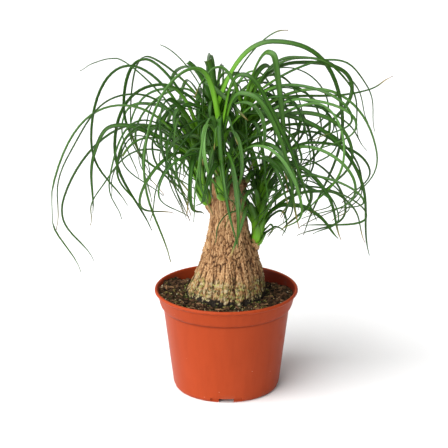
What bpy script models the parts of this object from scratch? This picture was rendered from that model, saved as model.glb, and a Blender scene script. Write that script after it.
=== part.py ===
"""Ponytail palm in a nursery pot, modelled at its real size in metres, +Z up.

The origin is on the floor under the pot's axis. +X is to the right and +Y to the back, seen from the front.
Azimuths are in degrees from +X, anticlockwise seen from above, so 180 is left and -90 is to the front.
Rows of points and sizes are in millimetres.
"""

import math
import random
from collections import namedtuple

import bmesh
import bpy
import numpy as np
from mathutils import Matrix, Vector
from mathutils.bvhtree import BVHTree

MM = 0.001
SEAT = 0.3  # gap between two solids that rest on each other

# Pot: a "six inch" azalea pot of thin plastic, 165 mm across its rim. (radius, height) of the outside, from
# the foot to the top of the rim, then of the inside, back to the floor, and of the hollow under the floor
POT_SIDES = 40
POT_OUTSIDE = [
    (58.6, 0),
    (60.8, 3),
    (61.8, 7.2),
    (72.5, 96.4),
    (75.2, 98.8),
    (76.6, 102.4),
    (79.2, 113.4),
    (80.8, 114.6),
    (82.5, 115.8),
    (82.5, 117.8),
    (81.3, 119),
]
POT_INSIDE = [
    (79.4, 118.4),
    (78, 115),
    (75, 101.4),
    (70.9, 97),
    (60.4, 9.6),
    (58.6, 7.6),
    (0, 7.6),
]
POT_UNDER = [(0, 6), (56.9, 6), (56.6, 0)]
NOTCHES = 4
NOTCH_WIDTH = 17
NOTCH_HEIGHT = 4.8
RECESS_WIDTH = 36
RECESS_HEIGHT = 5.4
RECESS_RADIUS = 58.3
DRAIN_HOLES = 6
DRAIN_RADIUS = 4.5
DRAIN_CIRCLE = 44

# Potting mix
SOIL_SIDES = 32
SOIL_HEIGHT = 111.5
SOIL_DIP = 6.5  # how much lower the mix is along the back of the pot
SOIL_HEAP = (-64, 38, 5, 22)  # middle x and y, height and spread of the heap at the left
SOIL_FLOOR = 7.6 + SEAT
SOIL_STEPS = 5  # rings between the trunk and the pot

# Trunk: (height, radius, how far its middle lies to the right), from the buried foot to the cut top
TRUNK = [
    (70, 27, 0),
    (75, 33, 0),
    (84, 40, 0),
    (94, 44.6, 0),
    (103.5, 46, 0),
    (113, 44.9, 0),
    (122, 42.9, 0.8),
    (131, 40, 2.2),
    (140, 37.2, 3.3),
    (152, 33, 4),
    (164, 29.5, 3.9),
    (175, 25.6, 3.6),
    (186, 22.8, 3.1),
    (198, 20.6, 2.8),
    (212, 19.5, 2.6),
    (228, 19.3, 2.2),
    (238, 19.6, 2),
    (245, 21, 3.4),
    (248.5, 18, 3.2),
]
TRUNK_SIDES = 48
TRUNK_BACK = 3  # the trunk stands this far behind the pot's axis
BARK_FOOT = 114  # the bark's relief starts here, above the potting mix
BARK_FADE = 9
RIBS = 12  # upright ribs round the trunk
RIB_HEIGHT = 0.9  # at the swollen foot, less where the trunk is thinner

# Leafy shoots. foot and tip are the ends of the stem, out is the way that it leaves the trunk.
Shoot = namedtuple("Shoot", "foot out tip leaves facing seed")
SHOOTS = {
    "shoot_left": Shoot((-21.5, 1, 222), (-0.5, -0.05, 0.85), (-27, -4, 300), 32, 180, 11),
    "shoot_front": Shoot((-4, -20.5, 236), (-0.1, -0.75, 0.65), (-6, -25, 306), 25, -95, 23),
    "shoot_top": Shoot((11, 5, 255), (0.15, 0.05, 1), (20, 9, 335), 40, 8, 37),
    "shoot_back": Shoot((-8, 12, 253), (-0.15, 0.25, 1), (-12, 20, 330), 28, 110, 41),
    "shoot_right": Shoot((33.5, -1, 175), (0.28, -0.05, 1), (37, -3, 258), 28, -5, 59),
}
STEM_SIDES = 8
STEM_RINGS = 4
STEM_RADIUS = 4.4
STEM_TIP_RADIUS = 3
STUB_SIDES = 12
STUB_RADIUS = 5
STUB_FOOT_RADIUS = 6.2
STUB_DEPTH = 16  # how far the woody stub under a shoot runs back into the trunk

# Blades
BLADE_RINGS = 7
BLADE_THICK = 1
ROOT_OUT = 2.2  # a blade starts this far from the stem's middle line, on its own side
LEAN = 0.3  # how far a blade leans out where it leaves the stem, 0 being straight up
SHEATH = 24  # length of a blade's foot, which may lie against its neighbours
GAP = 0.35  # kept between the blades of one shoot and everything else
GOLDEN_ANGLE = 137.5
TRIES = 60
CROWDING = 1.35  # above 1, more leaves turn to the side that their shoot faces
LOWEST = 172  # no tip but a leader's hangs lower than this
REACH = 174  # no blade but a leader goes further out from the pot's axis than this

# One leaf: the share of the stem's height that it grows from, its azimuth, then three points that it
# passes, each as (distance out from the stem, height above the floor): the crest of its arch, a point on
# its way down and its tip. Then its width, how far its tip sways to the left of its plane, the share of
# its length that is left where the grower trimmed it, its roll at the root and its twist from there on.
LEAF_FIELDS = "share azimuth crest way tip width sway kept roll twist"
Leaf = namedtuple("Leaf", LEAF_FIELDS, defaults=(0, 1, 40, 0))

# The leaves that shape the outline, one by one
LEADERS = {
    "shoot_left": [
        Leaf(0.80, 180, (78, 379), (122, 298), (83, 218), 5.2),
        Leaf(0.95, 174, (62, 385), (87, 338), (70, 273), 5.8),
        Leaf(0.70, 178, (92, 389), (115, 385), (132, 376), 3.2),
        Leaf(0.40, 186, (90, 336), (168, 240), (138, 142), 4.6),
        Leaf(0.60, 190, (76, 350), (148, 283), (164, 198), 3.8),
        Leaf(0.30, 177, (68, 313), (157, 225), (125, 148), 4.4),
        Leaf(0.20, 184, (62, 284), (118, 237), (129, 196), 3.6),
        Leaf(0.90, 173, (47, 360), (102, 296), (60, 189), 6.2),
        Leaf(0.85, 232, (55, 352), (66, 300), (20, 205), 5.6),
        Leaf(0.60, 242, (46, 330), (56, 280), (22, 212), 5.0),
        Leaf(1.00, -35, (5, 362), (36, 345), (62, 327), 6.8),
    ],
    "shoot_front": [
        Leaf(1.00, 200, (30, 379), (84, 292), (58, 162), 7.0),
        Leaf(0.60, 215, (17, 327), (74, 280), (94, 226), 5.6),
        Leaf(0.60, -98, (26, 333), (50, 262), (44, 197), 7.0, 24),
        Leaf(0.35, -63, (20, 281), (43, 240), (50, 192), 5.8, -6),
        Leaf(0.95, -20, (26, 377), (72, 314), (112, 220), 5.6),
        Leaf(0.80, -22, (25, 357), (67, 315), (93, 210), 6.0),
        Leaf(0.60, -98, (64, 344), (132, 300), (152, 256), 4.6),
    ],
    "shoot_top": [
        Leaf(0.90, -40, (36, 397), (52, 352), (64, 243), 7.0),
        Leaf(0.95, 5, (94, 382), (137, 354), (149, 298), 3.0),
        Leaf(0.85, 8, (62, 384), (120, 360), (144, 306), 3.4),
        Leaf(0.70, -8, (58, 389), (117, 364), (132, 298), 3.6),
        Leaf(0.80, 20, (60, 337), (140, 335), (186, 351), 3.6),
        Leaf(0.65, 2, (83, 350), (153, 278), (112, 205), 4.0),
        Leaf(0.50, -6, (60, 334), (112, 321), (143, 284), 3.4),
        Leaf(0.55, -12, (36, 325), (125, 279), (150, 167), 5.6),
        Leaf(0.35, 6, (66, 309), (141, 240), (69, 186), 3.6),
    ],
    "shoot_back": [
        Leaf(0.90, -3, (66, 404), (141, 331), (101, 180), 6.4),
        Leaf(0.90, 188, (44, 383), (80, 350), (110, 290), 8.0, 0, 0.34),
        Leaf(1.00, 215, (16, 384), (55, 350), (75, 290), 8.6, 0, 0.3),
        Leaf(0.80, 178, (68, 399), (110, 380), (120, 370), 2.0, 0, 0.62),
        Leaf(0.80, 4, (75, 414), (120, 400), (150, 370), 2.0, 0, 0.62),
        Leaf(0.55, 96, (66, 372), (138, 300), (158, 216), 5.0),
    ],
    "shoot_right": [
        Leaf(0.95, -25, (26, 273), (76, 250), (100, 191), 5.2),
        Leaf(0.30, 5, (60, 234), (104, 220), (124, 172), 4.0),
        Leaf(0.15, -20, (36, 222), (68, 216), (96, 189), 6.2),
        Leaf(0.20, -12, (26, 213), (33, 199), (28, 183), 3.4),
        Leaf(0.15, -100, (34, 228), (51, 199), (63, 174), 7.2, -21),
        Leaf(0.25, -134, (33, 218), (57, 211), (63, 186), 4.6, -7),
        Leaf(0.72, 216, (14, 252), (28, 254), (40, 251), 5.6),
        Leaf(0.10, -20, (13, 197), (19, 193), (13, 181), 3.0),
        Leaf(0.08, 12, (18, 191), (27, 189), (34, 183), 3.0),
    ],
}


def smooth(x):
    """Eases from 0 to 1 as x goes from 0 to 1."""
    x = min(1.0, max(0.0, x))
    return x * x * (3 - 2 * x)


def stem_point(shoot, share):
    """Point on the stem's middle line, from its foot at 0 to its tip at 1."""
    foot = Vector(shoot.foot) * MM
    tip = Vector(shoot.tip) * MM
    knee = foot + Vector(shoot.out).normalized() * 0.3 * (tip - foot).length
    return foot * (1 - share) ** 2 + knee * 2 * share * (1 - share) + tip * share**2


def glide(start, end, leave, arrive, count):
    """Points of a cubic from start to end, given the ways that it leaves and arrives."""
    points = []
    for i in range(count):
        t = (i + 1) / count
        points.append(
            start * (2 * t**3 - 3 * t**2 + 1)
            + leave * (t**3 - 2 * t**2 + t)
            + end * (3 * t**2 - 2 * t**3)
            + arrive * (t**3 - t**2)
        )
    return points


def blade_line(shoot, leaf, rings):
    """Middle line of a blade: it rises from the stem, arches over its crest and hangs down to its tip."""
    root = stem_point(shoot, leaf.share)
    start = np.array((ROOT_OUT * MM, root.z))
    crest = np.array(leaf.crest) * MM
    way = np.array(leaf.way) * MM
    tip = np.array(leaf.tip) * MM
    rise = np.array((LEAN * crest[0], crest[1] - start[1])) * 1.6
    top = np.array((1.4 * min(crest[0], way[0] - crest[0]) + 0.2 * abs(crest[1] - way[1]), 0.0))
    fall = (tip - crest) * 0.8
    last = (tip - way) * 1.1 + (tip - crest) * np.array((0.1, 0.0))
    flat = [start]
    flat += glide(start, crest, rise, top, 12)
    flat += glide(crest, way, top, fall, 12)
    flat += glide(way, tip, fall, last, 12)
    flat = np.array(flat)
    steps = np.diff(flat, axis=0)
    run = np.concatenate(([0.0], np.cumsum(np.linalg.norm(steps, axis=1))))
    slope = np.unwrap(np.arctan2(steps[:, 1], steps[:, 0]))
    turned = np.concatenate(([0.0], np.cumsum(np.abs(np.diff(slope))), [0.0]))
    turned[-1] = turned[-2]
    pace = 0.5 * run / run[-1] + 0.5 * turned / turned[-1]
    first_pace = np.interp(SHEATH * MM, run, pace)
    last_pace = np.interp(run[-1] * leaf.kept, run, pace)
    along = np.interp(np.linspace(first_pace, last_pace, rings), pace, run)
    along = np.concatenate(([0.0], along))
    out = np.interp(along, run, flat[:, 0])
    height = np.interp(along, run, flat[:, 1])
    side = leaf.sway * MM * (along / run[-1]) ** 2
    a = math.radians(leaf.azimuth)
    x = root.x + out * math.cos(a) - side * math.sin(a)
    y = root.y + out * math.sin(a) + side * math.cos(a)
    return [Vector(point) for point in zip(x, y, height)], along / run[-1]


def direction(azimuth):
    """Level unit vector for an azimuth in degrees."""
    a = math.radians(azimuth)
    return Vector((math.cos(a), math.sin(a), 0))


def random_leaf(shoot, number, rng):
    """A leaf placed by rule: low ones reach out wide, high ones stand up and fold over near the stem."""
    share = 0.12 + 0.88 * (number + 0.5) / shoot.leaves
    turn = (GOLDEN_ANGLE * number / 180 + rng.uniform(-0.07, 0.07)) % 2 - 1
    azimuth = shoot.facing + 180 * math.copysign(abs(turn) ** CROWDING, turn)
    inward = 0.5 - 0.5 * math.cos(math.radians(azimuth - shoot.facing))
    forward = max(0, -direction(azimuth).y)
    size = rng.uniform(0.75, 1.2) * (1 - 0.35 * inward) * (1 - 0.25 * forward)
    root = stem_point(shoot, share) / MM
    crest_out = (36 + 48 * rng.random()) * size
    crest_z = root.z + (38 + 42 * rng.random()) * size * (1.3 - 0.6 * share)
    way_out = crest_out + (26 + 46 * rng.random()) * size
    way_z = crest_z - (26 + 42 * rng.random()) * size
    tip_out = crest_out + rng.uniform(-18, 40) * size
    lowest = LOWEST + 45 * forward + 34 * rng.random()
    tip_z = max(way_z - (30 + 52 * rng.random()) * size, lowest)
    far = (root + direction(azimuth) * max(way_out, tip_out)).xy.length
    pull = min(1, REACH / far)
    return Leaf(
        share,
        azimuth,
        (crest_out * pull, crest_z),
        (way_out * pull, max(way_z, tip_z + 20)),
        (tip_out * pull, tip_z),
        rng.uniform(3.6, 6.0),
        rng.uniform(-22, 22),
        1 if rng.random() < 0.94 else rng.uniform(0.4, 0.7),
        rng.uniform(-55, 55),
        rng.uniform(-40, 40),
    )


def nudged(leaf, rng, effort):
    """The same leaf turned and shifted a little, more so the more often it has failed to find room."""
    turn = rng.uniform(-1, 1) * effort * 0.35
    lift = rng.uniform(-1, 1) * effort * 0.25
    spread = 1 + rng.uniform(-1, 1) * effort * 0.003
    return leaf._replace(
        azimuth=leaf.azimuth + turn,
        crest=(leaf.crest[0] * spread, leaf.crest[1] + lift),
        way=(leaf.way[0] * spread, leaf.way[1] + lift),
        tip=(leaf.tip[0] * spread, leaf.tip[1] + lift),
        sway=leaf.sway + rng.uniform(-1, 1) * effort * 0.4,
    )


def blade_mesh(shoot, leaf, swell=0):
    """Corners and faces of a blade: flat above, keeled below, tapering to a blunt tip."""
    line, shares = blade_line(shoot, leaf, BLADE_RINGS)
    across = direction(leaf.azimuth + 90)
    line[-1] += (line[-1] - line[-2]).normalized() * swell * MM
    corners = []
    for i, point in enumerate(line):
        ahead = (line[min(i + 1, BLADE_RINGS)] - line[max(i - 1, 0)]).normalized()
        u = shares[i]
        flat = (across - ahead * across.dot(ahead)).normalized()
        flat = Matrix.Rotation(math.radians(leaf.roll + leaf.twist * u), 3, ahead) @ flat
        upper = ahead.cross(flat)
        half = (0.5 * leaf.width * (1 - 0.72 * u**2.2) * (1 if i else 0.5) + 2 * swell) * MM
        thick = BLADE_THICK * (1 - 0.25 * u)
        corners.append(point - flat * half + upper * (0.4 * thick + swell) * MM)
        corners.append(point + flat * half + upper * (0.4 * thick + swell) * MM)
        corners.append(point - upper * (0.6 * thick + 2 * swell) * MM)
    faces = []
    for i in range(BLADE_RINGS):
        for side in range(3):
            a = 3 * i + side
            b = 3 * i + (side + 1) % 3
            faces.append((a, b + 3, b))
            faces.append((a, a + 3, b + 3))
    end = 3 * BLADE_RINGS
    faces.append((0, 1, 2))
    faces.append((end + 2, end + 1, end))
    return corners, faces


def tree_of(meshes):
    """Search tree over the faces of several (corners, faces) meshes."""
    corners = []
    faces = []
    for mesh_corners, mesh_faces in meshes:
        base = len(corners)
        corners += mesh_corners
        faces += [tuple(base + i for i in face) for face in mesh_faces]
    return BVHTree.FromPolygons(corners, faces)


def open_part(mesh):
    """The part of a blade past the sheath, where it no longer lies against its neighbours."""
    return mesh[0], mesh[1][6:-2]


def grow_crown(solids):
    """Chooses the leaves of all shoots, each clear of the other shoots and of the given solids."""
    grown = {name: [] for name in SHOOTS}
    meshes = {name: [stem_mesh(shoot)] for name, shoot in SHOOTS.items()}
    loose = {name: [] for name in SHOOTS}
    trees = {name: tree_of(meshes[name]) for name in SHOOTS}
    own = {}
    solid_tree = tree_of(solids)
    wanted = []
    for name in SHOOTS:
        wanted += [(name, leaf) for leaf in LEADERS[name]]
    most = max(shoot.leaves for shoot in SHOOTS.values())
    rngs = {name: random.Random(shoot.seed) for name, shoot in SHOOTS.items()}
    for number in range(most):
        for name, shoot in SHOOTS.items():
            if number < shoot.leaves:
                wanted.append((name, random_leaf(shoot, number, rngs[name])))
    for name, first in wanted:
        shoot = SHOOTS[name]
        for effort in range(TRIES):
            leaf = nudged(first, rngs[name], effort)
            swollen = blade_mesh(shoot, leaf, GAP)
            tree = tree_of([swollen])
            if tree.overlap(solid_tree):
                continue
            if any(tree.overlap(trees[other]) for other in SHOOTS if other != name):
                continue
            if effort < TRIES // 2 and name in own and tree_of([open_part(swollen)]).overlap(own[name]):
                continue
            mesh = blade_mesh(shoot, leaf)
            grown[name].append(leaf)
            meshes[name].append(mesh)
            loose[name].append(open_part(mesh))
            trees[name] = tree_of(meshes[name])
            own[name] = tree_of(loose[name])
            break
    return grown, meshes


# Building


def frame_along(ahead):
    """Two unit vectors square to a direction and to each other."""
    side = ahead.cross(Vector((0, 1, 0))).normalized()
    return side, side.cross(ahead)


def tube(points, aheads, radii, sides):
    """Corners and faces of a closed round body along a line of points."""
    corners = []
    for point, ahead, radius in zip(points, aheads, radii):
        side, other = frame_along(ahead)
        for k in range(sides):
            a = 2 * math.pi * k / sides
            corners.append(point + (side * math.cos(a) + other * math.sin(a)) * radius)
    faces = [tuple(reversed(range(sides)))]
    for i in range(len(points) - 1):
        for k in range(sides):
            a = i * sides + k
            b = i * sides + (k + 1) % sides
            faces.append((a, b, b + sides, a + sides))
    top = (len(points) - 1) * sides
    faces.append(tuple(top + k for k in range(sides)))
    return corners, faces


def stem_mesh(shoot):
    """A shoot's stem, cut square at its foot."""
    points = [stem_point(shoot, i / STEM_RINGS) for i in range(STEM_RINGS + 1)]
    aheads = [Vector(shoot.out).normalized()]
    for i in range(1, STEM_RINGS + 1):
        aheads.append((stem_point(shoot, i / STEM_RINGS + 0.01) - points[i]).normalized())
    radii = [
        (STEM_RADIUS + (STEM_TIP_RADIUS - STEM_RADIUS) * i / STEM_RINGS) * MM for i in range(STEM_RINGS + 1)
    ]
    return tube(points, aheads, radii, STEM_SIDES)


def stub_mesh(shoot):
    """The woody stub on the trunk that a shoot grows from, with a flat end."""
    out = Vector(shoot.out).normalized()
    end = Vector(shoot.foot) * MM - out * SEAT * MM
    points = [end - out * STUB_DEPTH * MM, end - out * STUB_DEPTH * 0.4 * MM, end]
    radii = [STUB_FOOT_RADIUS * MM, (STUB_RADIUS + 1.2) * MM, STUB_RADIUS * MM]
    return tube(points, [out] * 3, radii, STUB_SIDES)


def new_object(name, corners, faces):
    """A node of its own from corners and faces, with its faces turned outward."""
    bm = bmesh.new()
    verts = [bm.verts.new(corner) for corner in corners]
    for face in faces:
        bm.faces.new([verts[i] for i in face])
    bmesh.ops.recalc_face_normals(bm, faces=bm.faces)
    mesh = bpy.data.meshes.new(name)
    bm.to_mesh(mesh)
    bm.free()
    obj = bpy.data.objects.new(name, mesh)
    bpy.context.scene.collection.objects.link(obj)
    return obj


def apply_modifiers(obj):
    """Replaces an object's mesh by what its modifiers make of it."""
    graph = bpy.context.evaluated_depsgraph_get()
    made = bpy.data.meshes.new_from_object(obj.evaluated_get(graph), depsgraph=graph)
    old = obj.data
    obj.modifiers.clear()
    obj.data = made
    made.name = obj.name
    bpy.data.meshes.remove(old)


def join_all(obj, repeats):
    """Fuses a list of (corners, faces) meshes into an object by one union."""
    group = bpy.data.collections.new(obj.name + "_repeats")
    bpy.context.scene.collection.children.link(group)
    for corners, faces in repeats:
        piece = new_object(obj.name + "_repeat", corners, faces)
        bpy.context.scene.collection.objects.unlink(piece)
        group.objects.link(piece)
    union = obj.modifiers.new("join", "BOOLEAN")
    union.operation = "UNION"
    union.operand_type = "COLLECTION"
    union.collection = group
    union.solver = "MANIFOLD"
    apply_modifiers(obj)
    for piece in list(group.objects):
        bpy.data.objects.remove(piece)
    bpy.data.collections.remove(group)
    keep_outer_body(obj)


def keep_outer_body(obj):
    """Drops sealed hollows and loose scraps: only the largest shell stays."""
    bm = bmesh.new()
    bm.from_mesh(obj.data)
    bmesh.ops.triangulate(bm, faces=bm.faces)
    left = set(bm.verts)
    shells = []
    while left:
        shell = set()
        queue = [left.pop()]
        while queue:
            vert = queue.pop()
            shell.add(vert)
            for edge in vert.link_edges:
                other = edge.other_vert(vert)
                if other in left:
                    left.remove(other)
                    queue.append(other)
        shells.append(shell)
    shells.sort(key=len)
    for shell in shells[:-1]:
        bmesh.ops.delete(bm, geom=list(shell), context="VERTS")
    bm.to_mesh(obj.data)
    bm.free()


def subtract(obj, cutter):
    """Cuts one object away from another and removes the cutter."""
    cutter.hide_render = True
    cutter.display_type = "WIRE"
    cut = obj.modifiers.new("cut", "BOOLEAN")
    cut.operation = "DIFFERENCE"
    cut.solver = "MANIFOLD"
    cut.object = cutter
    apply_modifiers(obj)
    bpy.data.objects.remove(cutter)


def lathe(name, profile, sides):
    """A round body from a closed profile of (radius, height) points."""
    corners = []
    rings = []
    for radius, height in profile:
        if radius == 0:
            rings.append([len(corners)] * sides)
            corners.append(Vector((0, 0, height * MM)))
            continue
        rings.append(list(range(len(corners), len(corners) + sides)))
        for k in range(sides):
            corners.append(direction(360 * k / sides) * radius * MM + Vector((0, 0, height * MM)))
    faces = []
    for low, high in zip(rings, rings[1:] + rings[:1]):
        for k in range(sides):
            n = (k + 1) % sides
            loop = [low[k], low[n], high[n], high[k]]
            face = list(dict.fromkeys(loop))
            if len(face) > 2:
                faces.append(face)
    return new_object(name, corners, faces)


def build_pot():
    """Thin pot with a collar and rim, a raised floor, drain holes and four notches in its skirt."""
    pot = lathe("pot", POT_OUTSIDE + POT_INSIDE + POT_UNDER, POT_SIDES)
    for k in range(DRAIN_HOLES):
        middle = direction(360 * (k + 0.5) / DRAIN_HOLES) * DRAIN_CIRCLE * MM
        points = [middle + Vector((0, 0, z * MM)) for z in (4, 10)]
        up = Vector((0, 0, 1))
        corners, faces = tube(points, [up, up], [DRAIN_RADIUS * MM] * 2, 8)
        subtract(pot, new_object("drain_cutter", corners, faces))
    for k in range(NOTCHES):
        facing = 360 * k / NOTCHES - 90
        subtract(pot, notch_cutter(facing, RECESS_WIDTH, RECESS_HEIGHT, RECESS_RADIUS))
        subtract(pot, notch_cutter(facing, NOTCH_WIDTH, NOTCH_HEIGHT, 50))
    return pot


def notch_cutter(facing, width, height, inner):
    """Block with rounded upper corners and a curved inner side, across the skirt."""
    half_turn = math.degrees(width / 2 / POT_OUTSIDE[0][0])
    round_off = 1.2
    steps = 4
    corners = []
    for i in range(steps + 1):
        across = -1 + 2 * i / steps
        spot = direction(facing + half_turn * across)
        top = height - (round_off if abs(across) == 1 else 0)
        for radius, z in ((inner, -2), (70, -2), (70, top), (inner, top)):
            corners.append(spot * radius * MM + Vector((0, 0, z * MM)))
    faces = [(0, 1, 2, 3)]
    for i in range(steps):
        for k in range(4):
            a = 4 * i + k
            b = 4 * i + (k + 1) % 4
            faces.append((a, b, b + 4, a + 4))
    end = 4 * steps
    faces.append((end + 3, end + 2, end + 1, end))
    return new_object("notch_cutter", corners, faces)


def trunk_radius(height):
    """Plain radius of the trunk at a height, in mm."""
    return float(np.interp(height, [row[0] for row in TRUNK], [row[1] for row in TRUNK]))


def pot_radius(height):
    """Radius of the pot's inside at a height, in mm."""
    inside = sorted((z, r) for r, z in POT_INSIDE[:-1])
    return float(np.interp(height, [row[0] for row in inside], [row[1] for row in inside]))


def trunk_ring(height, relief):
    """Corners of the trunk's outline at a height: upright ribs and soft swellings on a round."""
    shift = float(np.interp(height, [row[0] for row in TRUNK], [row[2] for row in TRUNK]))
    rib_height = RIB_HEIGHT * min(1, trunk_radius(height) / 40)
    ring = []
    for k in range(TRUNK_SIDES):
        a = 2 * math.pi * k / TRUNK_SIDES
        wave = 0.9 * math.sin(0.04 * height + 2 * a)
        ribs = math.cos(RIBS * a + wave) * (1 - 0.4 * math.cos(0.11 * height + 3 * a))
        swelling = math.cos(2 * a + 0.03 * height) + 0.6 * math.cos(3 * a - 0.05 * height)
        radius = trunk_radius(height) + relief * (rib_height * ribs + 0.5 * swelling)
        spot = Vector((math.cos(a), math.sin(a), 0)) * radius
        ring.append((spot + Vector((shift, TRUNK_BACK, height))) * MM)
    return ring


def build_trunk():
    """Swollen trunk with its stubs. The part in the potting mix is plain and round."""
    corners = []
    heights = [row[0] for row in TRUNK]
    for height in heights:
        relief = smooth((height - BARK_FOOT) / BARK_FADE) * (1 if height < TRUNK[-1][0] else 0)
        corners += trunk_ring(height, relief)
    n = TRUNK_SIDES
    faces = [tuple(reversed(range(n)))]
    for i in range(len(heights) - 1):
        for k in range(n):
            a = i * n + k
            b = i * n + (k + 1) % n
            faces.append((a, b, b + n))
            faces.append((a, b + n, a + n))
    end = (len(heights) - 1) * n
    faces.append(tuple(end + k for k in range(n)))
    trunk = new_object("trunk", corners, faces)
    join_all(trunk, [stub_mesh(shoot) for shoot in SHOOTS.values()])
    return trunk


def soil_height(x, y):
    """Height of the potting mix at a place, in mm: lower at the back, heaped at the left, lumpy."""
    lumps = math.sin(0.21 * x + 1.3 * math.sin(0.13 * y)) * math.cos(0.19 * y + 0.8)
    lumps += 0.6 * math.sin(0.37 * x - 0.29 * y)
    dip = SOIL_DIP * smooth((y - 15) / 45)
    heap_x, heap_y, heap_height, spread = SOIL_HEAP
    heap = heap_height * math.exp(-((x - heap_x) ** 2 + (y - heap_y) ** 2) / spread**2)
    return SOIL_HEIGHT - 0.02 * x - dip + heap + 0.9 * lumps


def soil_ring(radius, height, back=0):
    """Level round of corners, in mm."""
    middle = Vector((0, back, height))
    return [middle + direction(360 * k / SOIL_SIDES) * radius for k in range(SOIL_SIDES)]


def build_soil():
    """Potting mix that fills the pot, with a plain round hole that the trunk stands in."""
    n = SOIL_SIDES
    clear = 1 / math.cos(math.pi / n)  # keeps the flats of the hole outside the trunk's round
    rings = []
    middle = Vector((0, TRUNK_BACK, 0))
    hole = [row[0] for row in TRUNK if row[0] < SOIL_HEIGHT - 2]
    for i, height in enumerate(hole):
        z = height - (SEAT if i == 0 else 0)
        rings.append(soil_ring((trunk_radius(height) + SEAT) * clear, z, TRUNK_BACK))
    for step in range(SOIL_STEPS + 1):
        share = step / SOIL_STEPS
        ring = []
        for k in range(n):
            outward = direction(360 * k / n)
            near = outward * trunk_radius(SOIL_HEIGHT) + middle
            near = outward * (trunk_radius(soil_height(near.x, near.y)) + SEAT) * clear + middle
            far = outward * pot_radius(SOIL_HEIGHT)
            far = outward * (pot_radius(soil_height(far.x, far.y)) * 0.9975 - 1.5 * SEAT)
            spot = near.lerp(far, share)
            ring.append(Vector((spot.x, spot.y, soil_height(spot.x, spot.y))))
        rings.append(ring)
    for radius, height in POT_INSIDE[2:5]:
        rings.append(soil_ring(radius * 0.9975 - 1.5 * SEAT, height))
    rings.append(soil_ring(pot_radius(SOIL_FLOOR) - 2 * SEAT, SOIL_FLOOR))
    corners = [corner * MM for ring in rings for corner in ring]
    faces = [tuple(range(n))]
    for i in range(len(rings) - 1):
        for k in range(n):
            a = i * n + k
            b = i * n + (k + 1) % n
            faces.append((a, b, b + n))
            faces.append((a, b + n, a + n))
    end = (len(rings) - 1) * n
    faces.append(tuple(end + k for k in range(n)))
    return new_object("potting_mix", corners, faces)


def paint(obj, colour, roughness, smooth_faces=True):
    """Gives an object its own plain material and its shading."""
    material = bpy.data.materials.new(obj.name)
    material.use_nodes = True
    shader = material.node_tree.nodes["Principled BSDF"]
    shader.inputs["Base Color"].default_value = (*colour, 1)
    shader.inputs["Roughness"].default_value = roughness
    shader.inputs["Metallic"].default_value = 0
    obj.data.materials.clear()
    obj.data.materials.append(material)
    for face in obj.data.polygons:
        face.use_smooth = smooth_faces


def mesh_of(obj):
    """Corners and faces of an object."""
    corners = [vert.co.copy() for vert in obj.data.vertices]
    return corners, [tuple(face.vertices) for face in obj.data.polygons]


def main():
    for obj in list(bpy.data.objects):
        bpy.data.objects.remove(obj)
    pot = build_pot()
    paint(pot, (0.52, 0.1, 0.035), 0.45)
    soil = build_soil()
    paint(soil, (0.035, 0.026, 0.02), 0.95, False)
    trunk = build_trunk()
    paint(trunk, (0.36, 0.22, 0.12), 0.9, False)
    grown, meshes = grow_crown([mesh_of(pot), mesh_of(soil), mesh_of(trunk)])
    for name in SHOOTS:
        shoot = new_object(name, *meshes[name][0])
        join_all(shoot, meshes[name][1:])
        paint(shoot, (0.06, 0.2, 0.045), 0.5, False)
        print(name, len(grown[name]), "leaves", len(shoot.data.polygons), "faces")


main()
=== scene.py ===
import math
import random
from collections import namedtuple

import bmesh
import bpy
import numpy as np
from mathutils import Matrix, Vector, noise
from mathutils.bvhtree import BVHTree


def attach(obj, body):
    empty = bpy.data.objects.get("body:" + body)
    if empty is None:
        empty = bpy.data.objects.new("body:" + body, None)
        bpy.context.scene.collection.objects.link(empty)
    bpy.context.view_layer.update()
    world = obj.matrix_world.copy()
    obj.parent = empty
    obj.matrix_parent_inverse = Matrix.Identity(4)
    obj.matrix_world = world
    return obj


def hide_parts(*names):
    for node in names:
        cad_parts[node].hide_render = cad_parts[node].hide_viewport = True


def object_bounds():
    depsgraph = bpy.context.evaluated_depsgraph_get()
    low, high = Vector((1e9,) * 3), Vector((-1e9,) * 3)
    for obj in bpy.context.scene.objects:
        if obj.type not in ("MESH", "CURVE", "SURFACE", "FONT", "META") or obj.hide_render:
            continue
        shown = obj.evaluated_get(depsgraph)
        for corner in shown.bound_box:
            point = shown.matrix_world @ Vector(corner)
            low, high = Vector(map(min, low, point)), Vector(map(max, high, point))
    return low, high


# Ponytail palm in a nursery pot. Plans are in millimetres, meshes in metres.
mm = 0.001

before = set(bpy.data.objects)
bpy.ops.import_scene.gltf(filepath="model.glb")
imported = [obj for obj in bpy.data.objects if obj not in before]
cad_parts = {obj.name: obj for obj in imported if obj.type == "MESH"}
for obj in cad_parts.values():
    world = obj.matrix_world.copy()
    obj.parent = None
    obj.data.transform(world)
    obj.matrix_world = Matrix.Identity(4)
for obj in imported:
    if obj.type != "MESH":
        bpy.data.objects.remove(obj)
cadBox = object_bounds()
noise.seed_set(7)  # the same bark and mix on every run
print("frame:", sorted(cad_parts))

cameraPlan = {
    "distance": 2000,
    "elevation": 18,
    "lens": 141.2,
    "target": (-2.65, 0, 195.2),
}


def setCamera(plan):
    e = math.radians(plan["elevation"])
    camera = bpy.data.cameras.new("camera")
    camera.lens = plan["lens"]
    holder = bpy.data.objects.new("camera", camera)
    back = Vector((0, -math.cos(e), math.sin(e))) * plan["distance"]
    holder.location = (Vector(plan["target"]) + back) * mm
    holder.rotation_euler = (math.radians(90) - e, 0, 0)
    bpy.context.scene.collection.objects.link(holder)
    bpy.context.scene.camera = holder


setCamera(cameraPlan)
print("camera")


# Shared helpers for shaders


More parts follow.
